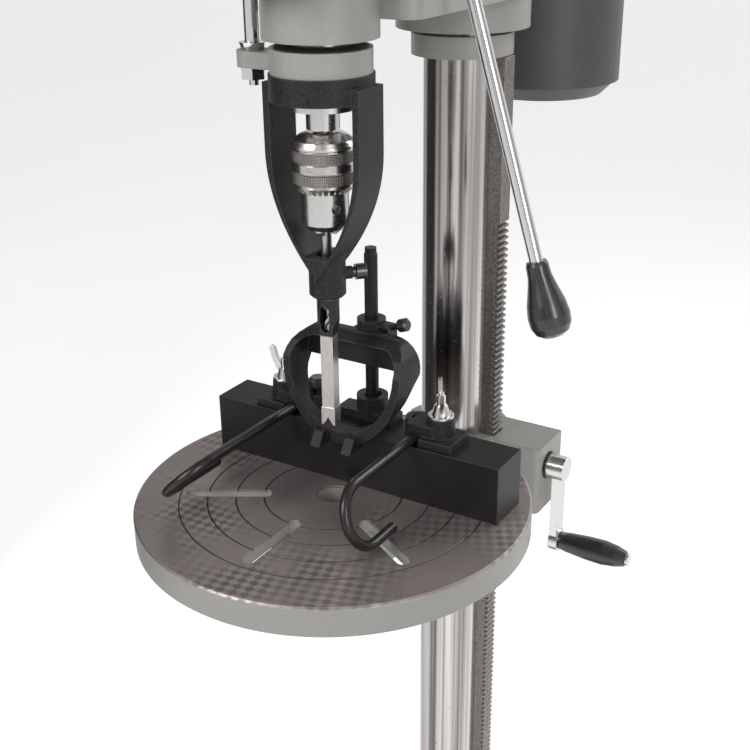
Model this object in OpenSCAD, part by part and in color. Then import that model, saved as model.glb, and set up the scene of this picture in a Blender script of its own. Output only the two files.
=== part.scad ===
// Floor-standing drill press with a mortising attachment on its quill and table.
// Millimetres. The floor is z = 0, the front is -Y, and the origin is the centre of the base's anchor holes.

/* [Machine] */
// Height of the table top above the floor
table_top = 905; // [700:5:1000]
// Distance from the column axis to the spindle axis
throat = 235; // [220:1:290]
// Distance from the anchor pattern's centre back to the column axis
column_y = 130; // [110:1:150]
// Outside diameter of the column tube
column_d = 73; // [64:1:84]
// Wall of the column tube
column_wall = 6; // [4:0.5:10]

/* [Base] */
// Width of the base casting
base_w = 310; // [280:5:420]
// Length of the base casting, front to back
base_l = 480; // [440:5:600]
// Height of the base casting
base_h = 42; // [34:1:60]
// Spacing of the anchor holes across the base
anchor_w = 250; // [220:5:265]
// Spacing of the anchor holes along the base
anchor_l = 410; // [380:5:425]
// Diameter of the anchor holes
anchor_d = 14; // [10:1:18]

/* [Column flange] */
// Diameter of the column's foot flange
flange_d = 176; // [165:1:200]
// Height of the flange above the base
flange_h = 98; // [70:1:130]
// Diameter of the foot flange bolts
flange_bolt_d = 12; // [10:1:14]

/* [Rack] */
// Module of the lifting rack and of its pinion
rack_m = 2; // [2]
// Width of the rack
rack_w = 20; // [16:1:24]
// How far the rack stands out from the column
rack_t = 13; // [11:0.5:16]
// Plain length at the top of the rack, above its teeth
rack_plain = 150; // [100:1:200]

/* [Table] */
// Diameter of the table
table_d = 355.6; // [330:0.1:400]
// Height of the table's rim
table_rim = 28; // [24:1:36]
// Diameter of the hole at the table's centre
table_bore = 30; // [26:1:36]
// Diameter of the stem under the table
stem_d = 62; // [54:1:70]
// Width of the table's slots
slot_w = 12.5; // [11:0.5:15]
// Inner end of the slots, from the centre
slot_in = 55; // [50:1:60]
// Outer end of the slots, from the centre
slot_out = 133; // [125:1:140]

/* [Quill and spindle] */
// Outside diameter of the quill
quill_d = 56; // [52:1:60]
// Travel of the quill
quill_travel = 80; // [60:1:82]
// Diameter of the spindle in its bearings
spindle_d = 20; // [18:1:22]
// Outside diameter of the chuck's sleeve
chuck_d = 52; // [48:1:56]

/* [Mortising attachment] */
// Width of the square chisel's cutting end
chisel_w = 12.7; // [10:0.1:14]
// Height of the chisel's points above the table at rest
chisel_gap = 72; // [60:1:90]
// Width of the chisel holder across its arms
yoke_w = 90; // [84:1:96]
// Depth of the chisel holder's arms, front to back
yoke_depth = 36; // [30:1:42]
// Thickness of the chisel holder's arms
yoke_wall = 6; // [5:0.5:8]
// Outside diameter of the grey clamp collar
collar_d = 81; // [78:1:88]

/* [Fence and hold-down] */
// Length of the fence
fence_l = 297; // [260:1:320]
// Depth of the fence, front to back
fence_t = 44.6; // [40:0.1:50]
// Height of the fence
fence_h = 53.6; // [45:0.1:60]
// Distance from the spindle axis back to the fence's face
fence_gap = 24.4; // [24:0.1:30]
// Diameter of the hold-down post
post_d = 12; // [10:0.5:14]
// Diameter of the bent hook rods
hook_d = 9.2; // [8:0.1:10]

/* [Head and drive] */
// Width of the head casting's body
head_w = 150; // [130:2:160]
// Diameter of the motor's body
motor_d = 165; // [140:1:180]
// Length of the motor's body
motor_l = 250; // [200:1:300]
// Width of the belt cover
cover_w = 236; // [220:2:260]
// Height of the belt cover's lid
cover_h = 118; // [112:1:130]
// Length of a feed handle from the hub to the end of its knob
handle_l = 307; // [260:1:320]
// Diameter of the feed handle rods
handle_d = 11; // [10:0.5:13]
// Length of the elevating crank's arm, centre to centre
crank_r = 85; // [70:1:95]

/* [Fits] */
// Radial clearance of a shaft in its bearing hole
run_fit = 0.05; // [0.02:0.01:0.1]
// Clearance between neighbouring pieces that move apart
gap = 0.4; // [0.3:0.05:0.8]

/* [Hidden] */
$fn = 64;
tau = 360;
spindle_y = column_y - throat;
column_r = column_d / 2;
rack_pitch = PI * rack_m;
rack_x = column_r + rack_t;            // face of the rack's teeth
rack_line = rack_x - rack_m;           // pitch line of the rack
rack_cap = table_top + 357.5;          // underside of the column's upper collar
flange_top = base_h + flange_h;
gear_teeth = 14;
gear_r = rack_m * gear_teeth / 2;
worm_r = 9;
bracket_top = table_top - table_rim + 1;
bracket_h = 92;
crank_z = table_top - 53;
crank_y = column_y + 6;
gear_x = rack_line + gear_r + 0.1;
gear_z = crank_z - worm_r - gear_r - rack_m - 0.3;
case_x = 105;                          // right face of the gear case
tilt_z = table_top - 68;               // height of the table's tilting bolt
tilt_y = spindle_y + 165;              // face between the bracket and the table arm
tilt_d = 78;
head_z = table_top + 400;              // underside of the head's barrel
head_h = 196;
barrel_r = quill_d / 2 + 18;
box_y = spindle_y - barrel_r - 26;     // front of the switch box
deck_z = head_z + head_h;              // underside of the belt guard
deck_t = 6;
pulley_z = deck_z + deck_t + 14;
idler_y = column_y - 8;
motor_y = column_y + 182;
quill_z = table_top + 346;             // lower end of the quill
quill_l = 220;
yoke_z = table_top + 190;              // underside of the chisel holder's boss
yoke_bow = table_top + 312;            // where its arms start to bow inwards
yoke_ring_z = table_top + 353;
yoke_top = table_top + 373.5;
collar_h = 19.5;
sleeve_r = 37;
ear_x = 66;                            // depth rod, to the left of the quill
feed_y = spindle_y + quill_d / 2 + 12;
feed_z = table_top + 470;
feed_m = 2;
feed_teeth = 15;
feed_hub_x = 90;
handle_lean = 17;
chuck_top = table_top + 328;           // top of the chuck's crown
jaw_r = 4.5;
jaw_lean = 7;
post_x = 4;
post_y = spindle_y + 62;
stud_x = 83;
stud_y = spindle_y + stud_x * tan(30); // on the centre lines of two table slots
ear_dx = 29;                           // ear of a hook bracket, from its stud
ear_dy = 11;
hook_z = table_top + fence_h + hook_d / 2 + gap;
rod_x = 64;                            // straight part of each hook
foot_mid = 118;                        // widest level of the hold-down foot, above the table
foot_w = 60.5;                         // half its width

// ---------- helpers ----------

module at_spindle(z = 0) translate([0, spindle_y, z]) children();
module at_column(z = 0) translate([0, column_y, z]) children();
module at_table(z = 0) translate([0, spindle_y, table_top + z]) children();
module along_x() rotate([0, 90, 0]) children();
module along_y() rotate([-90, 0, 0]) children();

module mirrored() {
    children();
    mirror([1, 0, 0]) children();
}

module ring(outer, inner, h) difference() {
    cylinder(r = outer, h = h);
    translate([0, 0, -1]) cylinder(r = inner, h = h + 2);
}

// Plate with rounded corners, centred in X and Y
module rounded_plate(w, l, h, r) linear_extrude(h) {
    square([w - 2 * r, l], center = true);
    square([w, l - 2 * r], center = true);
    for (x = [-1, 1], y = [-1, 1]) translate([x * (w / 2 - r), y * (l / 2 - r)]) circle(r);
}

// Straight slot with round ends along X, from x = a to x = b
module slot_cut(a, b, w, h) {
    translate([a, -w / 2, 0]) cube([b - a, w, h]);
    for (x = [a, b]) translate([x, 0, 0]) cylinder(d = w, h = h);
}

module hex(across, h) cylinder(d = across / cos(30), h = h, $fn = 6);

// Hexagon-headed bolt pointing down, with the underside of its head at z = 0
module bolt(d, l, head) {
    translate([0, 0, -l]) cylinder(d = d, h = l);
    hex(head, d * 0.65);
}

// Outline of a spur gear with straight-flanked teeth, in mesh with the racks below
module gear_outline(m, teeth, shrink = 0.12) {
    pitch_r = m * teeth / 2;
    root_r = pitch_r - 1.2 * m;
    half = 90 / teeth;
    function flank(r, a) = [r * cos(a), r * sin(a)];
    polygon([for (i = [0 : teeth - 1]) let (c = i * tau / teeth) each [
        flank(root_r, c - half * (1.42 - shrink)),
        flank(pitch_r, c - half * (1 - shrink)),
        flank(pitch_r + 0.9 * m, c - half * (0.44 - shrink / 2)),
        flank(pitch_r + 0.9 * m, c + half * (0.44 - shrink / 2)),
        flank(pitch_r, c + half * (1 - shrink)),
        flank(root_r, c + half * (1.42 - shrink))]]);
}

// Toothed bar outline in X and Z: back at x = 0, tooth tips at x = depth, gaps centred on z = 0
module rack_outline(m, depth, from, to, plain) {
    p = PI * m;
    tip = p / 4 - m * tan(20);
    foot = p / 4 + 1.15 * m * tan(20);
    first = ceil((from + p) / p);
    last = floor((to - plain - p) / p);
    polygon(concat([[0, from], [depth, from]],
        [for (i = [first : last]) each [
            [depth, i * p - p / 4 - m * tan(20)], [depth - 2.15 * m, i * p - p / 4 + 1.15 * m * tan(20)],
            [depth - 2.15 * m, i * p + p / 4 - 1.15 * m * tan(20)], [depth, i * p + p / 4 + m * tan(20)]]],
        [[depth, to], [0, to]]));
}

// ---------- base and column ----------

module anchor_places() for (x = [-1, 1], y = [-1, 1])
    translate([x * anchor_w / 2, y * anchor_l / 2, 0]) children();

module flange_bolt_places() at_column() for (a = [45 : 90 : 315])
    rotate(a) translate([flange_d / 2 - 17, 0, 0]) children();

module base_casting() color("dimgray") difference() {
    union() {
        rounded_plate(base_w, base_l, 16, 34);
        rounded_plate(base_w - 16, base_l - 16, base_h - 4, 28);
        translate([0, spindle_y + 10, 0]) rounded_plate(base_w - 70, 210, base_h, 12);
        at_column() cylinder(d = flange_d + 8, h = base_h);
    }
    difference() {
        translate([0, 0, -1]) rounded_plate(base_w - 44, base_l - 44, base_h - 17, 20);
        anchor_places() cylinder(d = anchor_d + 20, h = base_h);
        at_column() cylinder(d = flange_d - 10, h = base_h);
        for (x = [-1, 1]) translate([x * 45 - 5, -base_l / 2, 0]) cube([10, base_l, base_h]);
    }
    anchor_places() translate([0, 0, -1]) cylinder(d = anchor_d, h = base_h + 2);
    for (x = [-1, 1]) translate([x * 70, spindle_y + 10, base_h - 26]) rotate(90)
        slot_cut(-74, 74, 14, 30);
    flange_bolt_places() translate([0, 0, base_h - 22]) cylinder(d = flange_bolt_d, h = 30);
    at_column(base_h - 22) cylinder(d = column_d - 8, h = 30);
}

module column_flange() color("dimgray") difference() {
    union() {
        at_column(base_h) cylinder(d = flange_d, h = 16);
        at_column(base_h + 16) cylinder(d1 = column_d + 62, d2 = column_d + 24, h = 26);
        at_column(base_h) cylinder(d = column_d + 26, h = flange_h);
    }
    at_column(base_h - 1) cylinder(d = column_d, h = flange_h + 2);
    flange_bolt_places() translate([0, 0, base_h - 1]) cylinder(d = flange_bolt_d + 1, h = 18);
    flange_bolt_places() translate([0, 0, base_h + 15.4]) cylinder(d = flange_bolt_d * 2.1, h = 40);
}

module flange_bolts() color("silver") flange_bolt_places() translate([0, 0, base_h + 15.4])
    bolt(flange_bolt_d, 36, flange_bolt_d * 1.5);

module column_tube() color("silver") at_column(base_h)
    ring(column_r, column_r - column_wall, head_z + 142 - base_h);

module rack_collar() color("darkgray") at_column(rack_cap) difference() {
    cylinder(r = column_r + 11.5, h = 20);
    translate([0, 0, -1]) cylinder(r = column_r, h = 22);
    translate([-column_r - 6, 0, 10]) rotate([0, -90, 0]) cylinder(d = 6, h = 12);
}

module rack() color("gray") translate([0, column_y, 0]) difference() {
    intersection() {
        translate([column_r - 3, rack_w / 2, gear_z]) rotate([90, 0, 0]) linear_extrude(rack_w)
            rack_outline(rack_m, rack_t + 3, flange_top + 1 - gear_z, rack_cap - gap - gear_z,
                rack_plain);
        translate([0, 0, flange_top]) cylinder(r = rack_x + 1.2, h = 2000);
    }
    cylinder(r = column_r + 0.1, h = 2000, $fn = 96);
}

// ---------- table bracket and its drive ----------

module table_bracket() color("darkgray") difference() {
    union() {
        at_column(bracket_top - bracket_h) cylinder(r = column_r + 19.5, h = bracket_h);
        // gear case on the right, with a round front corner
        translate([0, column_y - 18, bracket_top - 74]) linear_extrude(74) {
            translate([20, 0]) square([case_x - 26, 56]);
            translate([20, 6]) square([case_x - 20, 50]);
            translate([case_x - 6, 6]) circle(6);
        }
        translate([0, column_y - column_r - 10, tilt_z]) rotate([90, 0, 0])
            cylinder(d = tilt_d, h = column_y - column_r - 10 - tilt_y - gap);
        // split clamp ears on the left
        translate([-column_r - 44, column_y - 16, bracket_top - bracket_h + 12]) cube([34, 32, 60]);
    }
    at_column(bracket_top - bracket_h - 1) cylinder(r = column_r + run_fit, h = bracket_h + 2);
    // passage for the rack
    translate([0, column_y - rack_w / 2 - gap, bracket_top - bracket_h - 1])
        cube([rack_x + 1, rack_w + 2 * gap, bracket_h + 2]);
    // chamber for the elevating gear and its worm
    translate([gear_x, column_y - 13, gear_z]) along_y() cylinder(r = gear_r + rack_m + 1.2, h = 26);
    translate([gear_x - 16, crank_y, crank_z]) along_x() cylinder(r = worm_r + 3.4, h = 34);
    translate([rack_x - 10, column_y - 13, bracket_top - bracket_h - 1]) cube([18, 26, 60]);
    // gear pin and crank shaft holes
    translate([gear_x, column_y - 40, gear_z]) along_y() cylinder(d = 10, h = 100);
    translate([gear_x - 10, crank_y, crank_z]) along_x() cylinder(r = 8 + run_fit, h = 80);
    translate([case_x - 6, crank_y, crank_z]) along_x() cylinder(r = 14.5, h = 20);
    // tilting bolt hole and clamp split
    translate([0, tilt_y - 10, tilt_z]) along_y() cylinder(d = 16, h = 60);
    translate([-column_r - 46, column_y - 1.5, bracket_top - bracket_h - 1]) cube([50, 3, bracket_h + 2]);
    translate([-column_r - 31, column_y - 40, bracket_top - 50]) along_y() cylinder(r = 6 + run_fit, h = 80);
}

module column_lock() color("dimgray") translate([-column_r - 31, column_y, bracket_top - 50]) {
    translate([0, -30, 0]) along_y() cylinder(r = 6, h = 62);
    translate([0, 16 + gap, 0]) along_y() hex(19, 9);
    translate([0, -30, 0]) along_y() cylinder(r = 11, h = 13.6);
    translate([0, -24, 0]) rotate([0, -110, 0]) cylinder(d = 9, h = 74);
    translate([0, -24, 0]) rotate([0, -110, 0]) translate([0, 0, 80]) sphere(d = 20);
}

module elevating_gear() color("gray") translate([gear_x, column_y - 12, gear_z]) along_y()
    difference() {
        linear_extrude(24) rotate(180) gear_outline(rack_m, gear_teeth);
        translate([0, 0, -1]) cylinder(r = 5 + run_fit, h = 26);
    }

module bracket_pins() color("silver") {
    // pin of the elevating gear
    translate([gear_x, column_y - 17.8, gear_z]) along_y() cylinder(r = 5, h = 55.6);
    // bolt that the table arm tilts on
    translate([0, tilt_y, tilt_z]) {
        translate([0, -31, 0]) along_y() cylinder(d = 15.9, h = 62);
        translate([0, -41.2, 0]) along_y() hex(24, 10);
    }
}

module crank_shaft() color("silver") {
    translate([gear_x - 11, crank_y, crank_z]) along_x() {
        cylinder(r = 8, h = case_x - gear_x + 11 - 6.5);
        for (i = [0 : 2]) translate([0, 0, 2 + i * rack_pitch]) cylinder(r = worm_r, h = rack_pitch / 2);
    }
    translate([case_x - 7.01, crank_y, crank_z]) along_x() cylinder(r = 8, h = 26);
    translate([case_x + 3, crank_y, crank_z]) along_x() cylinder(r = 13, h = 18);
    translate([case_x + 9, crank_y - 9, crank_z - crank_r]) cube([8, 18, crank_r]);
    translate([case_x + 9, crank_y, crank_z - crank_r]) along_x() cylinder(r = 12, h = 10);
    translate([case_x + 18, crank_y, crank_z - crank_r]) along_x() cylinder(r = 4, h = 74);
    translate([case_x + 91.5, crank_y, crank_z - crank_r]) along_x() cylinder(r = 6.5, h = 3);
}

module crank_grip() color("black") translate([case_x + 19 + gap, crank_y, crank_z - crank_r]) along_x()
    difference() {
        rotate_extrude() polygon([[0, 0], [9, 0], [10.5, 8], [12.5, 30], [13, 48], [11, 62], [8, 71.5], [0, 71.5]]);
        translate([0, 0, -1]) cylinder(r = 4 + run_fit, h = 80);
    }

module table_arm() color("darkgray") difference() {
    union() {
        translate([0, tilt_y, tilt_z]) rotate([90, 0, 0]) cylinder(d = tilt_d, h = 16);
        at_spindle(table_top - 96) cylinder(d = stem_d + 34, h = 56);
        translate([-24, spindle_y + stem_d / 2 + 8, table_top - 96]) cube([48, 112, 54]);
        translate([-stem_d / 2 - 40, spindle_y - 14, table_top - 86]) cube([44, 28, 36]);
    }
    at_spindle(table_top - 98) cylinder(d = stem_d + 2 * run_fit, h = 80);
    translate([0, tilt_y - 80, tilt_z]) along_y() cylinder(r = 8, h = 100);
    translate([-18, tilt_y - 52, table_top - 98]) cube([36, 36.5, 80]);
    translate([-stem_d / 2 - 42, spindle_y - 1.5, table_top - 98]) cube([42, 3, 60]);
    translate([-stem_d / 2 - 27, spindle_y - 30, table_top - 68]) along_y() cylinder(r = 5 + run_fit, h = 60);
}

module table_clamp() color("silver") translate([-stem_d / 2 - 27, spindle_y, table_top - 68]) {
    translate([0, -24, 0]) along_y() cylinder(r = 5, h = 48);
    translate([0, 14 + gap, 0]) along_y() hex(16, 8);
    translate([0, -26, 0]) along_y() cylinder(r = 9, h = 11.6);
    translate([0, -21, 0]) rotate([0, -120, 0]) cylinder(d = 8, h = 62);
    translate([0, -21, 0]) rotate([0, -120, 0]) translate([0, 0, 66]) sphere(d = 16);
}

module table() color("gray") at_table() difference() {
    union() {
        rotate_extrude($fn = 180) polygon(concat(
            [[0, -12], [table_d / 2 - 12, -12], [table_d / 2 - 12, -table_rim + 1], [table_d / 2 - 11, -table_rim],
             [table_d / 2 - 2, -table_rim], [table_d / 2, -table_rim + 2], [table_d / 2, -1.6],
             [table_d / 2 - 1.6, 0]],
            [for (i = [3 : -1 : 0]) let (r = 62 + 25.4 * i) each [[r + 0.7, 0], [r, -0.6], [r - 0.7, 0]]],
            [[0, 0]]));
        translate([0, 0, -table_rim]) cylinder(d = stem_d + 30, h = 20);
        translate([0, 0, -102]) cylinder(d = stem_d, h = 80);
        for (a = [0 : 60 : 300]) rotate(a) translate([stem_d / 2, -4, -table_rim + 4])
            cube([table_d / 2 - stem_d / 2 - 6, 8, table_rim - 10]);
    }
    translate([0, 0, -104]) cylinder(d = table_bore, h = 110);
    for (a = [30 : 60 : 330]) rotate(a) translate([0, 0, -table_rim - 1])
        slot_cut(slot_in + slot_w / 2, slot_out - slot_w / 2, slot_w, table_rim + 2);
}

// ---------- head ----------

module head_casting() color("darkgray") difference() {
    union() {
        at_spindle(head_z) cylinder(r = barrel_r, h = head_h);
        at_column(head_z - 18) cylinder(r = column_r + 26, h = head_h + 18);
        translate([0, spindle_y + 8 + throat / 2, head_z + 14]) rounded_plate(head_w, throat - 16, head_h - 34, 14);
        translate([0, spindle_y + 8 + throat / 2, head_z + 100])
            rounded_plate(head_w - 24, throat - 28, head_h - 100, 14);
        translate([feed_hub_x - 14, feed_y, feed_z]) rotate([0, -90, 0]) cylinder(r = 32, h = 30);
        translate([-head_w / 2 - 8, feed_y, feed_z]) along_x() cylinder(r = 26, h = 30);
        // lug for the depth rod
        translate([-ear_x, spindle_y, head_z + 30]) cylinder(r = 12, h = 20);
        translate([-ear_x, spindle_y - 9, head_z + 30]) cube([40, 18, 20]);
        // lugs for the motor mount's rods
        for (x = [-1, 1]) translate([x * 52, column_y + 20, head_z + 110]) along_y() cylinder(r = 16, h = 52);
    }
    at_spindle(head_z - 1) cylinder(r = quill_d / 2 + run_fit, h = head_h - 23);
    at_spindle(head_z + head_h - 22) cylinder(r = 26, h = 30);
    at_spindle(head_z + head_h - 30) cylinder(r = 15, h = 30);
    at_column(head_z - 20) cylinder(r = column_r, h = 162);
    // hollow between the barrel and the column socket
    translate([-head_w / 2 + 10, spindle_y + 84, head_z + 24]) cube([head_w - 20, 60, 120]);
    translate([-100, feed_y, feed_z]) along_x() cylinder(r = 11 + run_fit, h = 110);
    translate([-10, feed_y, feed_z]) along_x() cylinder(r = 19, h = 100);
    translate([-ear_x, spindle_y, head_z + 28]) cylinder(r = 6 + run_fit, h = 24);
    for (x = [-1, 1]) translate([x * 52, column_y + 30, head_z + 110]) along_y() cylinder(r = 8, h = 60);
    translate([0, idler_y, deck_z - 22]) cylinder(r = 9, h = 30);
    for (z = [20, 90]) translate([-column_r - 60, column_y, head_z + z]) along_x() cylinder(r = 5, h = 62);
}

module head_screws() color("dimgray") for (z = [20, 90])
    translate([-column_r - 34, column_y, head_z + z]) along_x() difference() {
        cylinder(r = 5, h = 33.9);
        translate([0, 0, -1]) hex(5, 5);
    }

module head_bearings() color("gold") {
    translate([24, feed_y, feed_z]) along_x() ring(19, 11 + run_fit, feed_hub_x - 38);
    at_spindle(head_z + head_h - 22) ring(26, 14 + run_fit, 22);
    // post that the middle pulley turns on
    translate([0, idler_y, deck_z - 22]) cylinder(r = 9, h = 22 + deck_t + 92);
}

module feed_shaft() color("silver") translate([0, feed_y, feed_z]) {
    translate([-96, 0, 0]) along_x() cylinder(r = 11, h = feed_hub_x + 100);
    translate([-8, 0, 0]) along_x() linear_extrude(16) rotate(-90) gear_outline(feed_m, feed_teeth);
    translate([feed_hub_x - 14 + gap, 0, 0]) along_x() cylinder(r = 30, h = 7);
    translate([feed_hub_x - 8, 0, 0]) along_x() cylinder(r = 24, h = 32);
    translate([feed_hub_x + 23, 0, 0]) along_x() cylinder(r1 = 24, r2 = 19, h = 5);
}

module handle_places() translate([feed_hub_x + 8, feed_y, feed_z]) for (a = [0, 120, 240])
    rotate([a, 0, 0]) rotate([0, 180 - handle_lean, 0]) children();

module feed_handles() color("silver") difference() {
    handle_places() cylinder(d = handle_d, h = handle_l - 44);
    translate([feed_hub_x - 8, feed_y, feed_z]) along_x() cylinder(r = 24, h = 32);
}

module handle_knobs() color("black") handle_places() translate([0, 0, handle_l - 62]) difference() {
    rotate_extrude() polygon([[0, 0], [8, 0], [9, 3], [9.5, 12], [12, 22], [15.5, 34], [17, 44], [16.4, 52],
        [13.5, 58], [9, 61], [0, 62]]);
    translate([0, 0, -1]) cylinder(d = handle_d, h = 19);
}

module spring_case() color("dimgray") translate([-head_w / 2 - 8, feed_y, feed_z]) rotate([0, -90, 0])
    difference() {
        cylinder(r = 34, h = 26);
        translate([0, 0, 3]) cylinder(r = 29, h = 19);
        translate([0, 0, -1]) cylinder(r = 11.5, h = 60);
    }

// ---------- quill, spindle and chuck ----------

module quill() color("silver") at_spindle(quill_z) difference() {
    cylinder(r = quill_d / 2, h = quill_l);
    translate([0, 0, -1]) cylinder(r = spindle_d, h = quill_l + 2);
    // rack cut into the back
    translate([-9, quill_d / 2 - 1, feed_z - quill_z - 22]) cube([18, 10, quill_travel + 38]);
    translate([-9, quill_d / 2 - 1, feed_z - quill_z]) rotate([90, 0, 90]) linear_extrude(18)
        for (i = [-2 : ceil(quill_travel / PI / feed_m) + 1]) let (p = PI * feed_m, half = feed_m * tan(20))
            polygon([[0.1, i * p - p / 4 - half], [-4.4, i * p - p / 4 + 1.2 * half],
                [-4.4, i * p + p / 4 - 1.2 * half], [0.1, i * p + p / 4 + half]]);
}

module quill_bearings() color("gold") at_spindle(quill_z)
    for (z = [4, quill_l - 16]) translate([0, 0, z]) ring(spindle_d, spindle_d / 2 + run_fit, 12);

module spindle() color("silver") at_spindle() {
    translate([0, 0, quill_z - 6]) cylinder(d = spindle_d, h = quill_l + 10);
    translate([0, 0, quill_z + quill_l + 4]) cylinder(d = spindle_d - 3, h = deck_z + 98 - quill_z - quill_l - 4);
    translate([0, 0, quill_z - 16]) cylinder(r = 13.5, h = 14);
    translate([0, 0, chuck_top + 0.01]) cylinder(r1 = 7, r2 = 10, h = quill_z - 15 - chuck_top);
    translate([0, 0, chuck_top - 32]) cylinder(r1 = 6, r2 = 7, h = 32.1);
}

module jaw_axis(i) at_spindle(chuck_top - 84) rotate(i * 120 + 30) translate([8.8, 0, 0]) rotate([0, jaw_lean, 0])
    children();

module chuck_body() color("silver") difference() {
    chuck_blank();
    for (i = [0 : 2]) jaw_axis(i) translate([0, 0, -10]) cylinder(r = jaw_r + 0.1, h = 60);
}

module chuck_blank() at_spindle(chuck_top) difference() {
    rotate_extrude() polygon([[0, 0], [13, 0], [19, -2.2], [24, -6], [chuck_d / 2, -10], [chuck_d / 2, -12],
        [20, -12], [20, -47.6], [19.5, -48], [19.5, -74], [15, -79], [0, -79]]);
    translate([0, 0, -32]) cylinder(r1 = 6, r2 = 7, h = 32.2);
    translate([0, 0, -80]) cylinder(r = 5, h = 52);
    for (i = [0 : 2]) translate([0, 0, -60]) rotate(i * 120 + 90) along_x() cylinder(d = 7, h = 40);
}

module chuck_sleeve() color("silver") at_spindle(chuck_top) difference() {
    rotate_extrude() polygon([[20 + run_fit, -12.3], [chuck_d / 2, -12.3], [chuck_d / 2, -13], [chuck_d / 2 - 0.9, -13.4],
        [chuck_d / 2 - 0.9, -14], [chuck_d / 2, -14.4], [chuck_d / 2, -22], [chuck_d / 2 - 0.9, -22.4],
        [chuck_d / 2 - 0.9, -23], [chuck_d / 2, -23.4], [chuck_d / 2, -30], [chuck_d / 2 - 0.9, -30.4],
        [chuck_d / 2 - 0.9, -31], [chuck_d / 2, -31.4], [chuck_d / 2, -40], [chuck_d / 2 - 1, -40.6],
        [chuck_d / 2 - 1, -41.6], [chuck_d / 2, -42], [21.5, -47.6], [20 + run_fit, -47.6]]);
    for (i = [0 : 29]) rotate(i * 12) translate([19, 0, -48.4]) rotate([90, 0, 90]) linear_extrude(9)
        polygon([[-1.5, -0.5], [1.5, -0.5], [0, 5.8]]);
}

module chuck_jaw(i) color("dimgray") difference() {
    jaw_axis(i) cylinder(r = jaw_r, h = 42);
    at_spindle(chuck_top - 90) cylinder(r = 4.5, h = 60);
    at_spindle(chuck_top - 96) cylinder(r = 30, h = 12);
    // tip bevelled towards the bit
    at_spindle(chuck_top - 84) difference() {
        translate([0, 0, -1]) cylinder(r = 20, h = 4);
        translate([0, 0, -1.01]) cylinder(r1 = 8.2, r2 = 12.2, h = 4.02);
    }
}

module chuck_jaw_1() chuck_jaw(0);
module chuck_jaw_2() chuck_jaw(1);
module chuck_jaw_3() chuck_jaw(2);

module auger_bit() color("dimgray") at_table() {
    translate([0, 0, 196]) cylinder(r = 4.5, h = 98);
    translate([0, 0, 78]) linear_extrude(118, twist = -1080, slices = 48) square([8.6, 2.6], center = true);
    translate([0, 0, 75]) cylinder(r1 = 0.6, r2 = 3.6, h = 6);
    translate([0, 0, 78]) cylinder(r = 2, h = 120);
}

// ---------- mortising attachment on the quill ----------

function yoke_half(z) = z > yoke_bow ? yoke_w / 2 : yoke_w / 2 * (1 - pow((yoke_bow - z) / 104, 2));

module yoke_outline(inset, from, to) polygon(concat(
    [for (i = [0 : 24]) let (z = from + (to - from) * i / 24) [max(yoke_half(z + inset * 0.9) - inset, 0.01), z]],
    [for (i = [24 : -1 : 0]) let (z = from + (to - from) * i / 24) [-max(yoke_half(z + inset * 0.9) - inset, 0.01), z]]));

// Axis of the chisel's lock screw, square to the boss
module screw_place() translate([0, 0, yoke_z + 18]) rotate(48) along_x() children();

module yoke() color("#2b2b2b") difference() {
    at_spindle() union() {
        difference() {
            translate([0, yoke_depth / 2, 0]) rotate([90, 0, 0]) linear_extrude(yoke_depth)
                yoke_outline(0, yoke_z + 12, yoke_top - 8);
            translate([0, yoke_depth, 0]) rotate([90, 0, 0]) linear_extrude(2 * yoke_depth)
                yoke_outline(yoke_wall, yoke_z + 36, yoke_ring_z - 4);
            translate([-yoke_w / 2 + yoke_wall, -yoke_depth, yoke_ring_z - 10])
                cube([yoke_w - 2 * yoke_wall, 2 * yoke_depth, 10]);
        }
        translate([0, 0, yoke_ring_z]) cylinder(r = 42, h = yoke_top - yoke_ring_z);
        translate([0, 0, yoke_top - 1]) cylinder(r = sleeve_r, h = 21);
        translate([0, 0, yoke_top + 20]) cylinder(r1 = sleeve_r, r2 = sleeve_r - 3, h = 3);
        translate([0, 0, yoke_z + 2]) cylinder(r = 15.5, h = 34);
        translate([0, 0, yoke_z]) cylinder(r1 = 13.5, r2 = 15.5, h = 2);
        screw_place() cylinder(r = 5.5, h = 21);
    }
    at_spindle(yoke_z - 1) cylinder(d = 19.05, h = 60);
    at_spindle(yoke_ring_z - 8) cylinder(r = 20, h = 20);
    at_spindle(quill_z) cylinder(r = quill_d / 2, h = 100);
    at_spindle(yoke_ring_z - 1) cylinder(r = quill_d / 2, h = 100);
    at_spindle() screw_place() cylinder(r = 3 + run_fit, h = 24);
    at_spindle(yoke_top) translate([-1, 0, 0]) cube([2, 60, 40]);
}

module clamp_collar() color("darkgray") at_spindle(yoke_top) difference() {
    union() {
        cylinder(d = collar_d, h = collar_h);
        translate([-ear_x, 0, 0]) cylinder(r = 13, h = 13);
        translate([-ear_x, -13, 0]) cube([36, 26, 13]);
    }
    translate([0, 0, -1]) cylinder(r = sleeve_r + 0.03, h = collar_h + 2);
    translate([-ear_x, 0, -1]) cylinder(r = 6, h = 20);
    translate([-ear_x + 2, -1, -1]) cube([34, 2, collar_h + 2]);
}

module depth_rod() color("silver") translate([-ear_x, spindle_y, 0]) {
    translate([0, 0, yoke_top - 7]) cylinder(r = 6, h = 218);
    translate([0, 0, yoke_top - 10]) hex(18, 9.9);
    translate([0, 0, yoke_top - 15]) cylinder(r = 4, h = 6);
    translate([0, 0, yoke_top + 13]) cylinder(r1 = 9, r2 = 11, h = 6);
}

module depth_nuts() color("silver") translate([-ear_x, spindle_y, head_z + 50 + quill_travel + 8]) difference() {
    union() {
        hex(19, 8);
        translate([0, 0, 9]) cylinder(r = 12, h = 9);
        translate([0, 0, 7.9]) cylinder(r = 8, h = 1.2);
    }
    translate([0, 0, -1]) cylinder(r = 6 + run_fit, h = 30);
}

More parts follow.
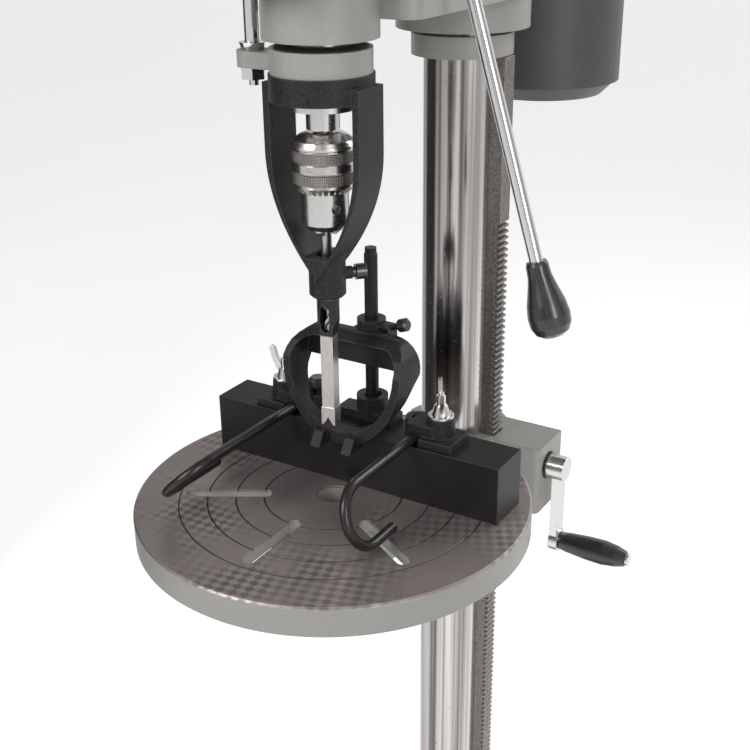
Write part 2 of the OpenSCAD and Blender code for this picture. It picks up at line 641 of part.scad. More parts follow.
module yoke_screw() color("#222222") at_spindle() screw_place() {
    translate([0, 0, 9.7]) cylinder(r = 3, h = 16);
    translate([0, 0, 21 + gap]) cylinder(r = 4.5, h = 3.1);
    translate([0, 0, 24]) cylinder(r = 6.7, h = 9);
}

module chisel() color("silver") at_table(chisel_gap) rotate(9) difference() {
    union() {
        translate([0, 0, 82]) cylinder(d = 19.05, h = 60);
        translate([-chisel_w / 2 + 0.65, -chisel_w / 2 + 0.65, 16]) cube([chisel_w - 1.3, chisel_w - 1.3, 70]);
        translate([-chisel_w / 2, -chisel_w / 2, 0]) cube([chisel_w, chisel_w, 16.1]);
    }
    translate([0, 0, -1]) cylinder(r = 5.2, h = 160);
    // four points: a notch across each face
    for (a = [0, 90]) rotate(a) translate([0, 20, -0.01]) rotate([90, 0, 0]) linear_extrude(40)
        polygon([[-chisel_w / 2 + 1.2, -1], [0, 7], [chisel_w / 2 - 1.2, -1]]);
    translate([0, 0, -1]) cylinder(r1 = 6.4, r2 = 5.1, h = 5);
    // scalloped change from round to square
    for (a = [0 : 90 : 270]) rotate(a) translate([chisel_w / 2 - 0.65 + 24, -12, 84]) rotate([-90, 0, 0])
        cylinder(r = 24, h = 24, $fn = 96);
    // chip window
    translate([0, 0, 98]) rotate([90, 0, 0]) linear_extrude(20) {
        translate([0, 8]) circle(4.4);
        translate([0, -8]) circle(4.4);
        square([8.8, 16], center = true);
    }
}

// ---------- drive ----------

// Stepped vee pulley; radii are listed from the lowest step up
module step_pulley(radii, bore, hub_r, below) difference() {
    union() {
        for (i = [0 : len(radii) - 1]) translate([0, 0, i * step_h]) cylinder(r = radii[i], h = step_h);
        translate([0, 0, -below]) cylinder(r = hub_r, h = below + 1);
    }
    translate([0, 0, -below - 1]) cylinder(r = bore, h = step_h * len(radii) + below + 2);
    for (i = [0 : len(radii) - 1]) translate([0, 0, (i + 0.5) * step_h]) rotate_extrude()
        polygon([[radii[i] - 9, -2.8], [radii[i] - 9, 2.8], [radii[i] + 1, 6.8], [radii[i] + 1, -6.8]]);
}

step_h = 19;
belt_h = 4.8;
belt_lift = (step_h - belt_h) / 2;
spindle_steps = [70, 58, 46, 34];
idler_steps = [36, 48, 60, 72];
motor_steps = [62, 52, 42, 32];

module spindle_pulley() color("silver") at_spindle(pulley_z)
    step_pulley(spindle_steps, (spindle_d - 3) / 2 + run_fit, 14, pulley_z - head_z - head_h + 24);

module idler_pulley() color("silver") translate([0, idler_y, pulley_z]) step_pulley(idler_steps, 9 + run_fit, 16, 12);

module motor_pulley() color("silver") translate([0, motor_y, 0]) {
    translate([0, 0, pulley_z]) step_pulley(motor_steps, 7, 16, 10);
    translate([0, 0, deck_z - 46]) cylinder(r = 7, h = 138);
}

// Belt round two pulleys, as a flat loop with round ends
module belt_loop(ya, ra, yb, rb, z) translate([0, 0, z]) difference() {
    hull() {
        translate([0, ya, 0]) cylinder(r = ra, h = belt_h, $fn = 48);
        translate([0, yb, 0]) cylinder(r = rb, h = belt_h, $fn = 48);
    }
    translate([0, 0, -1]) hull() {
        translate([0, ya, 0]) cylinder(r = ra - 7, h = belt_h + 2, $fn = 48);
        translate([0, yb, 0]) cylinder(r = rb - 7, h = belt_h + 2, $fn = 48);
    }
}

module belts() color("#1c1c1c") {
    belt_loop(spindle_y, spindle_steps[2] - 1.2, idler_y, idler_steps[2] - 1.2, pulley_z + 2 * step_h + belt_lift);
    belt_loop(idler_y, idler_steps[1] - 1.2, motor_y, motor_steps[1] - 1.2, pulley_z + step_h + belt_lift);
}

module motor() color("dimgray") translate([0, motor_y, 0]) {
    translate([0, 0, deck_z - 38 - motor_l]) cylinder(d = motor_d, h = motor_l - 8);
    translate([0, 0, deck_z - 38 - motor_l - 14]) cylinder(d1 = motor_d - 34, d2 = motor_d - 6, h = 14.1);
    difference() {
        translate([0, 0, deck_z - 46.1]) cylinder(d = motor_d - 20, h = 7.7);
        translate([0, 0, deck_z - 50]) cylinder(r = 9, h = 20);
    }
    translate([-30, motor_d / 2 - 12, deck_z - motor_l + 30]) cube([60, 40, 110]);
    translate([-motor_d / 2 - 26, -30, deck_z - motor_l + 60]) cube([40, 60, 90]);
}

module motor_mount() color("dimgray") {
    difference() {
        translate([-85, column_y + 84, deck_z - 38]) cube([170, motor_y - column_y - 14, 10]);
        translate([0, motor_y, deck_z - 50]) cylinder(r = 12, h = 40);
    }
    for (x = [-1, 1]) translate([x * 52, column_y + 32, head_z + 110]) along_y() cylinder(r = 8, h = 66);
    difference() {
        translate([-72, column_y + 84, head_z + 92]) cube([144, 14, deck_z - 37 - head_z - 92]);
        translate([-30, column_y + 80, head_z + 80]) cube([60, 30, 40]);
    }
}

module guard_outline(w) {
    translate([-w / 2, spindle_y]) square([w, motor_y - spindle_y]);
    translate([0, spindle_y]) circle(w / 2, $fn = 96);
    translate([0, motor_y]) circle(w / 2, $fn = 96);
}

module guard_base() color("dimgray") translate([0, 0, deck_z]) difference() {
    union() {
        linear_extrude(deck_t) guard_outline(cover_w);
        linear_extrude(16) difference() {
            guard_outline(cover_w - 8);
            guard_outline(cover_w - 12);
        }
        // barrels of the cover's hinge
        for (y = [-66, 74]) translate([-cover_w / 2, column_y + y, deck_t + 0.2]) along_y() cylinder(r = 5, h = 32);
    }
    at_spindle(-1) cylinder(r = 26, h = 30);
    translate([0, idler_y, -1]) cylinder(r = 9, h = 30);
    translate([0, motor_y, -1]) cylinder(r = 20, h = 30);
}

module belt_cover() color("gray") {
    translate([0, 0, deck_z + deck_t + gap]) difference() {
        union() {
            linear_extrude(cover_h - 12) guard_outline(cover_w);
            translate([0, 0, cover_h - 12.01]) linear_extrude(6.1) guard_outline(cover_w - 6);
            translate([0, 0, cover_h - 6]) linear_extrude(6) guard_outline(cover_w - 18);
        }
        translate([0, 0, -1]) linear_extrude(cover_h - 14) guard_outline(cover_w - 6);
        translate([-cover_w / 2 - 1, column_y - 70, -1]) cube([12, 40, 13]);
        translate([-cover_w / 2 - 1, column_y + 70, -1]) cube([12, 40, 13]);
    }
    translate([cover_w / 2 - 1, spindle_y + 200, deck_z + 44]) along_x() {
        cylinder(r = 5, h = 12);
        translate([0, 0, 17]) sphere(r = 10);
    }
}

module switch_box() color("#303030") difference() {
    union() {
        translate([-34, box_y, head_z + 40]) cube([68, 24, 104]);
        translate([-20, box_y + 23, head_z + 50]) cube([40, 22, 84]);
    }
    for (z = [70, 114]) translate([0, box_y - 1, head_z + z]) along_y() cylinder(r = 11.5 + gap, h = 14);
    at_spindle(head_z) cylinder(r = barrel_r + 0.02, h = head_h);
}

module button(z, r) translate([0, box_y, head_z + 40 + z]) rotate([90, 0, 0]) {
    translate([0, 0, -7]) cylinder(r = 11.5, h = 9);
    translate([0, 0, 1.9]) cylinder(r = r, h = 5);
}

module start_button() color("green") button(74, 9);
module stop_button() color("red") button(30, 11.5);

// ---------- fence, hold-down and hold-ins ----------

module fence() color("#241f1d") at_table() difference() {
    translate([-fence_l / 2 + 2.5, fence_gap, 0]) cube([fence_l, fence_t, fence_h]);
    for (s = [-1, 1]) translate([0, stud_y - spindle_y, -1]) slot_cut(s * stud_x - 11, s * stud_x + 11, 9, fence_h + 2);
}

module post_base() color("#2b2b2b") difference() {
    union() {
        translate([post_x - 30, post_y - 13, table_top + fence_h]) cube([58, 20, 8]);
        translate([post_x, post_y, table_top + fence_h]) cylinder(r = 14.5, h = 22);
    }
    translate([post_x, post_y, table_top + fence_h + 4]) cylinder(d = post_d, h = 40);
    translate([post_x, post_y, table_top + fence_h + 19]) cylinder(r1 = post_d / 2, r2 = post_d / 2 + 4, h = 4);
}

// Lock knob of the left hook, in the ear of its bracket
module hook_knob() color("#1a1a1a") translate([-stud_x + ear_dx, stud_y + ear_dy, table_top + fence_h]) {
    translate([0, 0, 5]) cylinder(r = 3, h = 13);
    translate([0, 0, 17 + gap]) cylinder(r1 = 7.5, r2 = 9, h = 2);
    translate([0, 0, 19]) cylinder(r = 9, h = 6);
    translate([0, 0, 24.9]) cylinder(r1 = 9, r2 = 6.5, h = 2.5);
}

module hold_down_post() color("#262626") translate([post_x, post_y, table_top + fence_h + 4]) {
    cylinder(d = post_d, h = 152);
    translate([0, 0, 151.9]) cylinder(d1 = post_d, d2 = post_d - 1.6, h = 1);
    translate([0, 0, 152.8]) cylinder(d = post_d - 1.6, h = 5);
}

// Outline of the foot from the front: an ellipse below its widest level, round corners above
module foot_outline(inset, drop) polygon(concat(
    [for (a = [180 : 7.5 : 360]) [(foot_w - inset) * cos(a), foot_mid + (foot_mid - 47 - drop) * sin(a)]],
    [for (a = [0 : 15 : 90]) [foot_w - 25 + (25 - inset) * cos(a), foot_mid + (25 - inset) * sin(a)]],
    [for (a = [90 : 15 : 180]) [25 - foot_w + (25 - inset) * cos(a), foot_mid + (25 - inset) * sin(a)]]));

module foot_solid(inset, drop, from, to) translate([0, to, 0]) rotate([90, 0, 0])
    linear_extrude(to - from) foot_outline(inset, drop);

module hold_down_foot() color("#2d2d2d") at_table() difference() {
    union() {
        intersection() {
            difference() {
                foot_solid(0, 0, 0, 51);
                foot_solid(7, 11, -1, 52);
            }
            // side profile: the arms sweep back to the web at the top
            translate([-70, 0, 0]) rotate([90, 0, 90]) linear_extrude(140) polygon([[8, 40], [10, 60], [12, 76],
                [12, 95], [15, 118], [24, 131], [36, 139], [44, 141], [44, 150], [51, 150], [51, 112], [40, 101],
                [33, 88], [23.6, 76], [23.6, 40]]);
        }
        intersection() {
            foot_solid(0, 0, 44, 51);
            translate([-70, 40, 112]) cube([140, 14, 40]);
        }
        translate([post_x, post_y - spindle_y, 120]) cylinder(r = post_d / 2 + 7, h = 30);
        translate([post_x - 12, 46, 120]) cube([24, 12, 23]);
        translate([post_x, post_y - spindle_y - 8, 128]) cube([22, 16, 18]);
        // the two pressing fingers
        for (s = [-1, 1]) translate([s * 16.2 - 4.7, 0, 0]) rotate([90, 0, 90]) linear_extrude(9.4)
            polygon([[-4.5, 45], [16, 45], [23.6, 50], [23.6, 60], [11, 60], [3, 57.5]]);
    }
    translate([post_x, post_y - spindle_y, 110]) cylinder(r = post_d / 2 + run_fit, h = 50);
    translate([post_x, post_y - spindle_y, 137]) rotate([0, 70, 0]) cylinder(r = 2.9 + run_fit, h = 40);
}

module foot_screw() color("#1d1d1d") translate([post_x, post_y, table_top + 137]) rotate([0, 70, 0]) {
    translate([0, 0, post_d / 2 + 1.4]) cylinder(r = 2.9, h = 22);
    translate([0, 0, 28.7]) cylinder(r1 = 3, r2 = 6, h = 3);
    translate([0, 0, 31.6]) cylinder(r = 6, h = 7);
    translate([0, 0, 38.5]) cylinder(r1 = 6, r2 = 4, h = 2);
}

module bracket_half() difference() {
    union() {
        translate([0, 0, 0]) cylinder(r1 = 14, r2 = 12, h = 24);
        translate([-12, -20, 0]) cube([32, 36, 7]);
        // arch over the hook rod and the ear beyond it
        translate([-ear_dx + 2, -14, 0]) cube([26, 28, 17]);
        translate([-ear_dx, ear_dy, 0]) cylinder(r = 11.5, h = 12);
    }
    translate([0, 0, -1]) cylinder(d = 8.4, h = 40);
    translate([-ear_dx, ear_dy, -1]) cylinder(r = 3 + run_fit, h = 20);
    translate([-ear_dx, ear_dy, 8]) cylinder(r = 6, h = 20);
    translate([rod_x - stud_x, -40, hook_d / 2 + gap]) along_y() cylinder(r = hook_d / 2 + run_fit, h = 80);
    translate([rod_x - stud_x - hook_d / 2 - run_fit, -40, -1]) cube([hook_d + 2 * run_fit, 80, 1 + hook_d / 2 + gap]);
}

module hold_in_brackets() color("#2b2b2b") translate([0, stud_y, table_top + fence_h]) mirrored()
    translate([stud_x, 0, 0]) bracket_half();

module studs() color("silver") translate([0, stud_y, table_top]) mirrored() translate([stud_x, 0, 0]) {
    translate([0, 0, -table_rim - 2]) cylinder(r = 4, h = table_rim + fence_h + 24 + 22);
    translate([0, 0, -12 - 7]) rotate(30) translate([-9, -5.8, 0]) cube([18, 11.6, 6.6]);
    translate([0, 0, fence_h + 24]) difference() {
        cylinder(r = 11.5, h = 2);
        translate([0, 0, -1]) cylinder(r = 3.9, h = 4);
    }
}

// Wing nut standing on the washer; its wings turn with it
module wing_nut(turn) translate([0, 0, table_top + fence_h + 26 + 0.1]) rotate(turn) difference() {
    union() {
        cylinder(r1 = 8, r2 = 5.6, h = 9);
        for (s = [0, 180]) rotate(s) translate([0, 1.5, 0]) rotate([90, 0, 0]) linear_extrude(3)
            polygon([[3, 1], [8, 4], [14, 16], [16.5, 25], [14.5, 28.5], [11, 27], [8, 18], [3, 9]]);
    }
    translate([0, 0, -1]) cylinder(r = 4 + run_fit, h = 40);
}

module wing_nut_right() color("silver") translate([stud_x, stud_y, 0]) wing_nut(-58);
module wing_nut_left() color("silver") translate([-stud_x, stud_y, 0]) wing_nut(0);

// Hook: a straight rod over the fence, a round bend down and a straight return, tilted outwards
module hook(side, reach, bend_r, lean, back) translate([side * rod_x, 0, hook_z]) rotate([0, side * -lean, 0]) {
    translate([0, spindle_y + reach, 0]) along_y() cylinder(d = hook_d, h = 72 - reach);
    translate([0, spindle_y + reach, -bend_r]) rotate([0, 90, 0]) rotate([0, 0, 180])
        rotate_extrude(angle = 180) translate([bend_r, 0]) circle(d = hook_d);
    translate([0, spindle_y + reach, -2 * bend_r]) along_y() cylinder(d = hook_d, h = back);
    translate([0, spindle_y + reach + back, -2 * bend_r]) along_y() cylinder(d1 = hook_d, d2 = hook_d - 2.4, h = 1.6);
}

module hook_right() color("#3a3a3a") hook(1, -62, 27, 20, 28);
module hook_left() color("#3a3a3a") hook(-1, -89, 28, 47, 56);

base_casting();
column_flange();
flange_bolts();
column_tube();
rack_collar();
rack();
table_bracket();
column_lock();
elevating_gear();
bracket_pins();
crank_shaft();
crank_grip();
table_arm();
table_clamp();
table();
head_casting();
head_screws();
head_bearings();
feed_shaft();
feed_handles();
handle_knobs();
spring_case();
quill();
quill_bearings();
spindle();
chuck_body();
chuck_sleeve();
chuck_jaw_1();
chuck_jaw_2();
chuck_jaw_3();
auger_bit();
yoke();
clamp_collar();
depth_rod();
depth_nuts();
yoke_screw();
chisel();
spindle_pulley();
idler_pulley();
belts();
motor();
motor_pulley();
motor_mount();
guard_base();
belt_cover();
switch_box();
start_button();
stop_button();
fence();
post_base();
hook_knob();
hold_down_post();
hold_down_foot();
foot_screw();
hold_in_brackets();
studs();
wing_nut_left();
wing_nut_right();
hook_left();
hook_right();
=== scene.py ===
import bpy
import math
from mathutils import Matrix, Vector


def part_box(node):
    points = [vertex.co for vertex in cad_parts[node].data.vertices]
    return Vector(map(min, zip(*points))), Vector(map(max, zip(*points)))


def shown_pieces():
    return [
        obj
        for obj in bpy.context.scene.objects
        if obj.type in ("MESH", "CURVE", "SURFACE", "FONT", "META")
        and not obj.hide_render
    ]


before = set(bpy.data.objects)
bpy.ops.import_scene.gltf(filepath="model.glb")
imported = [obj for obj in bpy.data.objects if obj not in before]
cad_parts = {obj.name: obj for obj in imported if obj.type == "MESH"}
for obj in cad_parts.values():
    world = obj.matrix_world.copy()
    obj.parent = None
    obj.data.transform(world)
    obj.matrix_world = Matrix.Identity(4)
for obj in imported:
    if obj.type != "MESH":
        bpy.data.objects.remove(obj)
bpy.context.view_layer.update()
scene = bpy.context.scene

# fixed places of the machine, in metres
tableLow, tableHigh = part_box("table")
top = tableHigh.z
spindle = Vector(((tableLow.x + tableHigh.x) / 2, (tableLow.y + tableHigh.y) / 2, top))
print("frame loaded", [round(v, 3) for v in spindle])


class Value:
    def __init__(self, shade, socket):
        self.shade = shade
        self.socket = socket

    def math(self, kind, *others):
        return self.shade.math(kind, self, *others)

    def __add__(self, other):
        return self.math("ADD", other)

    def __radd__(self, other):
        return self.math("ADD", other)

    def __sub__(self, other):
        return self.math("SUBTRACT", other)

    def __rsub__(self, other):
        return self.shade.math("SUBTRACT", other, self)

    def __mul__(self, other):
        return self.math("MULTIPLY", other)

    def __rmul__(self, other):
        return self.math("MULTIPLY", other)

    def __truediv__(self, other):
        return self.math("DIVIDE", other)

    def __pow__(self, other):
        return self.math("POWER", other)

    def high(self, other):
        return self.math("MAXIMUM", other)

    def low(self, other):
        return self.math("MINIMUM", other)

    def clamp(self):
        return self.high(0.0).low(1.0)

    def band(self, start, end, soft):
        return ((self - start) / soft + 0.5).clamp() * ((end - self) / soft + 0.5).clamp()

    def step(self, edge, soft):
        return ((self - edge) / soft + 0.5).clamp()


class Graph:
    def __init__(self, tree):
        self.tree = tree

    def node(self, kind, settings=None, values=None):
        made = self.tree.nodes.new(kind)
        for key, value in (settings or {}).items():
            setattr(made, key, value)
        named = {socket.identifier: socket for socket in made.inputs}
        for key, value in (values or {}).items():
            socket = named[key] if key in named else made.inputs[key]
            if isinstance(value, Value):
                self.link(value, socket)
            else:
                socket.default_value = value
        return {out.identifier: Value(self, out) for out in made.outputs}

    def math(self, kind, *items):
        return self.node("ShaderNodeMath", {"operation": kind}, dict(enumerate(items)))["Value"]

    def mix(self, amount, first, second):
        ready = [c if isinstance(c, Value) else (*c, 1.0) for c in (first, second)]
        values = {"Factor_Float": amount, "A_Color": ready[0], "B_Color": ready[1]}
        return self.node("ShaderNodeMix", {"data_type": "RGBA"}, values)["Result_Color"]

    def link(self, value, socket):
        self.tree.links.new(value.socket, socket)


class Shade(Graph):
    def __init__(self, name):
        self.material = bpy.data.materials.new(name)
        self.material.use_nodes = True
        super().__init__(self.material.node_tree)
        self.surface = self.tree.nodes["Principled BSDF"]
        self.place = self.node("ShaderNodeTexCoord").get("Object")
        split = self.node("ShaderNodeSeparateXYZ", values={"Vector": self.place})
        self.x, self.y, self.z = split.get("X"), split.get("Y"), split.get("Z")

    def stretch(self, scale):
        values = {0: self.place, 1: scale}
        return self.node("ShaderNodeVectorMath", {"operation": "MULTIPLY"}, values)["Vector"]

    def noise(self, scale, detail=3.0, rough=0.55, place=None):
        values = {"Vector": place or self.place, "Scale": scale, "Detail": detail, "Roughness": rough}
        return self.node("ShaderNodeTexNoise", {}, values)["Fac"]

    def edges(self, radius, sharpness=7.0):
        soft = self.node("ShaderNodeBevel", {"samples": 4}, {"Radius": radius})["Normal"]
        plain = self.node("ShaderNodeNewGeometry").get("Normal")
        dot = self.node("ShaderNodeVectorMath", {"operation": "DOT_PRODUCT"}, {0: soft, 1: plain})["Value"]
        return ((1 - dot) * sharpness).clamp(), soft  # edge mask (worn edges, partly a painted edge highlight), rounded normal

    def bump(self, height, strength, distance, normal=None):
        values = {"Height": height, "Strength": strength, "Distance": distance}
        if normal is not None:
            values["Normal"] = normal
        return self.node("ShaderNodeBump", {}, values)["Normal"]

    def finish(self, **inputs):
        names = {"color": "Base Color", "rough": "Roughness", "metal": "Metallic", "normal": "Normal",
                 "coat": "Coat Weight", "coatRough": "Coat Roughness", "specular": "Specular IOR Level",
                 "glow": "Emission Color", "glowPower": "Emission Strength"}
        for key, value in inputs.items():
            socket = self.surface.inputs[names[key]]
            if isinstance(value, Value):
                self.link(value, socket)
            elif key in ("color", "glow"):
                socket.default_value = (*value, 1.0)
            else:
                socket.default_value = value
        return self.material


def paintedCast(name, look):
    s = Shade(name)
    grain = s.noise(look["grain"], 4.0, 0.6)
    coarse = s.noise(look["coarse"], 3.0)
    edge, soft = s.edges(look["edge"])
    tone = (grain - 0.5) * look["contrast"] + 0.5
    color = s.mix(tone.clamp(), look["dark"], look["light"])
    color = s.mix((coarse - 0.52).clamp() * look["patches"], color, look["dust"])
    # lighter edges: partly paint worn through to metal, partly a painted highlight where light catches the
    # edges
    wornAndLitEdge = (edge * (0.35 + grain) * look["wearAndHighlight"]).clamp()
    color = s.mix(wornAndLitEdge, color, look["bare"])
    height = grain * 0.7 + coarse * 0.6
    normal = s.bump(height, look["relief"], look["depth"], soft)
    rough = (look["rough"] + (grain - 0.5) * look["roughSwing"]).clamp()
    return s.finish(color=color, rough=rough, normal=normal, specular=look["specular"])


castBlack = {
    "grain": 620.0, "coarse": 90.0, "edge": 0.0012, "contrast": 2.6, "patches": 0.5, "wearAndHighlight": 0.5,
    "dark": (0.002, 0.002, 0.0022), "light": (0.028, 0.0275, 0.0275), "dust": (0.035, 0.034, 0.033),
    "bare": (0.13, 0.125, 0.12), "relief": 0.8, "depth": 0.0007, "rough": 0.46,
    "roughSwing": 0.35, "specular": 0.22,
}
greyEnamel = {
    "grain": 480.0, "coarse": 30.0, "edge": 0.0012, "contrast": 1.3, "patches": 0.35, "wearAndHighlight": 0.35,
    "dark": (0.21, 0.207, 0.195), "light": (0.28, 0.276, 0.26), "dust": (0.19, 0.182, 0.168),
    "bare": (0.38, 0.37, 0.35), "relief": 0.22, "depth": 0.0004, "rough": 0.42,
    "roughSwing": 0.2, "specular": 0.5,
}
smoothBlack = {
    "grain": 900.0, "coarse": 22.0, "edge": 0.001, "contrast": 1.2, "patches": 0.4, "wearAndHighlight": 0.4,
    "dark": (0.004, 0.004, 0.004), "light": (0.009, 0.0088, 0.0085), "dust": (0.03, 0.028, 0.026),
    "bare": (0.16, 0.155, 0.15), "relief": 0.15, "depth": 0.0003, "rough": 0.42,
    "roughSwing": 0.2, "specular": 0.25,
}
darkEnamel = {
    "grain": 480.0, "coarse": 26.0, "edge": 0.0015, "contrast": 1.4, "patches": 0.4, "wearAndHighlight": 0.35,
    "dark": (0.03, 0.031, 0.034), "light": (0.06, 0.062, 0.066), "dust": (0.09, 0.088, 0.085),
    "bare": (0.2, 0.2, 0.2), "relief": 0.3, "depth": 0.0005, "rough": 0.45,
    "roughSwing": 0.25, "specular": 0.5,
}


def bareSteel(name, look):
    s = Shade(name)
    lines = s.noise(1.0, 3.0, 0.6, s.stretch(look["stretch"]))
    stain = s.noise(look["stain"], 4.0, 0.6)
    edge, soft = s.edges(0.0007)
    color = s.mix(lines, look["dark"], look["light"])
    color = s.mix((stain - 0.5).clamp() * look["staining"], color, look["brown"])
    color = s.mix(edge * 0.5, color, look["bare"])
    rough = (look["rough"] + (lines - 0.5) * look["roughSwing"] + (stain - 0.5).clamp() * 0.3).clamp()
    normal = s.bump(lines, look["relief"], 0.0003, soft)
    return s.finish(color=color, rough=rough, normal=normal, metal=look["metal"])


groundSteel = {
    "stretch": (300.0, 300.0, 2600.0), "stain": 24.0, "staining": 0.5, "dark": (0.52, 0.505, 0.495),
    "metal": 1.0, "light": (0.74, 0.725, 0.71), "brown": (0.33, 0.3, 0.28), "bare": (0.75, 0.74, 0.72),
    "rough": 0.24, "roughSwing": 0.22, "relief": 0.06,
}
toolSteel = {
    "stretch": (900.0, 900.0, 160.0), "stain": 90.0, "staining": 0.8, "dark": (0.36, 0.345, 0.335),
    "metal": 1.0, "light": (0.58, 0.565, 0.55), "brown": (0.24, 0.2, 0.18), "bare": (0.7, 0.69, 0.67),
    "rough": 0.34, "roughSwing": 0.3, "relief": 0.12,
}
darkSteel = {
    "stretch": (700.0, 260.0, 700.0), "stain": 60.0, "staining": 0.8, "dark": (0.018, 0.0165, 0.015),
    "metal": 0.6, "light": (0.05, 0.046, 0.043), "brown": (0.035, 0.027, 0.022), "bare": (0.2, 0.19, 0.18),
    "rough": 0.3, "roughSwing": 0.25, "relief": 0.1,
}
platedRod = {
    "stretch": (600.0, 600.0, 600.0), "stain": 40.0, "staining": 0.3, "dark": (0.6, 0.6, 0.6),
    "metal": 1.0, "light": (0.75, 0.745, 0.74), "brown": (0.45, 0.43, 0.4), "bare": (0.8, 0.8, 0.8),
    "rough": 0.17, "roughSwing": 0.12, "relief": 0.03,
}
bronze = {
    "stretch": (500.0, 500.0, 500.0), "stain": 50.0, "staining": 0.6, "dark": (0.35, 0.2, 0.09),
    "metal": 1.0, "light": (0.55, 0.36, 0.17), "brown": (0.2, 0.12, 0.07), "bare": (0.65, 0.45, 0.25),
    "rough": 0.35, "roughSwing": 0.2, "relief": 0.08,
}


def moulded(name, look):
    s = Shade(name)
    fine = s.noise(900.0, 2.0)
    coarse = s.noise(55.0, 3.0)
    edge, soft = s.edges(0.0008)
    color = s.mix(coarse, look["dark"], look["light"])
    color = s.mix((edge * 0.4 + (coarse - 0.55).clamp() * 0.8).clamp(), color, look["scuff"])
    rough = (look["rough"] + (coarse - 0.5) * 0.3).clamp()
    normal = s.bump(fine, 0.12, 0.0002, soft)
    return s.finish(color=color, rough=rough, normal=normal, coat=look["coat"], coatRough=0.15)


blackPlastic = {
    "dark": (0.012, 0.012, 0.013), "light": (0.022, 0.022, 0.023),
    "scuff": (0.07, 0.068, 0.066), "rough": 0.3, "coat": 0.3,
}
greenPlastic = {
    "dark": (0.015, 0.17, 0.04), "light": (0.03, 0.26, 0.07),
    "scuff": (0.15, 0.4, 0.2), "rough": 0.32, "coat": 0.3,
}
redPlastic = {
    "dark": (0.33, 0.012, 0.01), "light": (0.48, 0.02, 0.016),
    "scuff": (0.6, 0.2, 0.18), "rough": 0.32, "coat": 0.3,
}
blackRubber = {
    "dark": (0.012, 0.012, 0.012), "light": (0.025, 0.024, 0.023),
    "scuff": (0.06, 0.058, 0.055), "rough": 0.7, "coat": 0.0,
}


tableLook = {
    "grainScale": 700.0, "cloudScale": 14.0, "patchScale": 13.0, "finePerMetre": 3600.0,
    "rings": (0.062, 0.0874, 0.1128, 0.1382), "ringHalf": 0.0007, "ringTone": (0.028, 0.024, 0.023),
    "arcCentres": ((-0.31, 0.12), (0.24, 0.26)), "arcsPerMetre": 470.0, "marksFrom": 0.085,
    "dark": (0.17, 0.145, 0.141), "light": (0.4, 0.35, 0.338), "grain": (0.26, 0.225, 0.216),
    "hollow": (0.07, 0.058, 0.056), "shine": (0.42, 0.375, 0.36), "edge": (0.6, 0.58, 0.56), "edgeFrom": 0.17,
    "paintDark": (0.2, 0.198, 0.188), "paintLight": (0.26, 0.257, 0.245), "paintDust": (0.18, 0.173, 0.16),
    "bareBelow": 0.0022, "flatBelow": 0.0004, "metal": 0.7, "paintRough": 0.42, "bareRough": 0.4,
}


def facingArcs(s, centre):
    dx, dy = s.x - spindle.x - centre[0], s.y - spindle.y - centre[1]
    return s.math("SINE", (dx * dx + dy * dy) ** 0.5 * tableLook["arcsPerMetre"])


def tableTop():
    s = Shade("machined table")
    look = tableLook
    dx, dy = s.x - spindle.x, s.y - spindle.y
    radius = (dx * dx + dy * dy) ** 0.5
    grain = s.noise(look["grainScale"], 4.0, 0.6)
    cloud = s.noise(look["cloudScale"], 3.0, 0.5)
    # facing marks: two families of wide arcs that cross as small diamonds
    first, second = [facingArcs(s, centre) for centre in look["arcCentres"]]
    diamond = (first * second * 1.3 + 0.5).clamp()
    patch = ((s.noise(look["patchScale"], 2.0) - 0.46) * 5.0).clamp()
    outerPart = radius.step(look["marksFrom"], 0.05)
    marks = diamond * patch * outerPart
    fine = s.math("SINE", radius * look["finePerMetre"]) * 0.5 + 0.5
    flat = s.z.step(top - look["flatBelow"], 0.0003)
    bareArea = s.z.step(top - look["bareBelow"], 0.0008)
    color = s.mix(cloud, look["dark"], look["light"])
    color = s.mix((grain - 0.5) * 0.8 + 0.35, color, look["grain"])
    # the facing marks carry painted light: a painted highlight on the lit diamonds and a painted shade on the
    # facets between them
    color = s.mix(patch * outerPart * (1 - diamond) * 0.62, color, look["hollow"])
    color = s.mix(marks * 0.3, color, look["shine"])
    rings = None
    for at in look["rings"]:
        line = radius.band(at - look["ringHalf"], at + look["ringHalf"], 0.0005)
        rings = line if rings is None else rings.high(line)
    color = s.mix(rings * 0.85, color, look["ringTone"])
    edge, soft = s.edges(0.0011)
    color = s.mix((edge * 0.8 * radius.step(look["edgeFrom"], 0.01)).clamp(), color, look["edge"])
    paint = s.mix((grain - 0.5) * 1.2 + 0.5, look["paintDark"], look["paintLight"])
    paint = s.mix((cloud - 0.5).clamp() * 0.6, paint, look["paintDust"])
    color = s.mix(bareArea, paint, color)
    bareRough = look["bareRough"] + (1 - diamond) * patch * 0.2 + (grain - 0.5) * 0.2
    rough = (1 - bareArea) * look["paintRough"] + bareArea * bareRough
    height = marks * 0.7 * flat + fine * 0.12 * flat + grain * 0.3
    normal = s.bump(height, 0.4, 0.0004, soft)
    return s.finish(color=color, rough=rough.clamp(), metal=bareArea * look["metal"], normal=normal)


# the column's dark and light are the tones of painted reflection bands
columnLook = {
    "dark": (0.13, 0.122, 0.118), "light": (0.6, 0.575, 0.56), "spots": (0.16, 0.145, 0.135),
    "rough": 0.18, "reflectionContrast": 3.0, "spotScale": 210.0, "hazeScale": 9.0,
    "linesStretch": (60.0, 60.0, 1800.0), "reflectionStretch": (150.0, 150.0, 0.7),
    "fineReflectionStretch": (620.0, 620.0, 2.0),
}


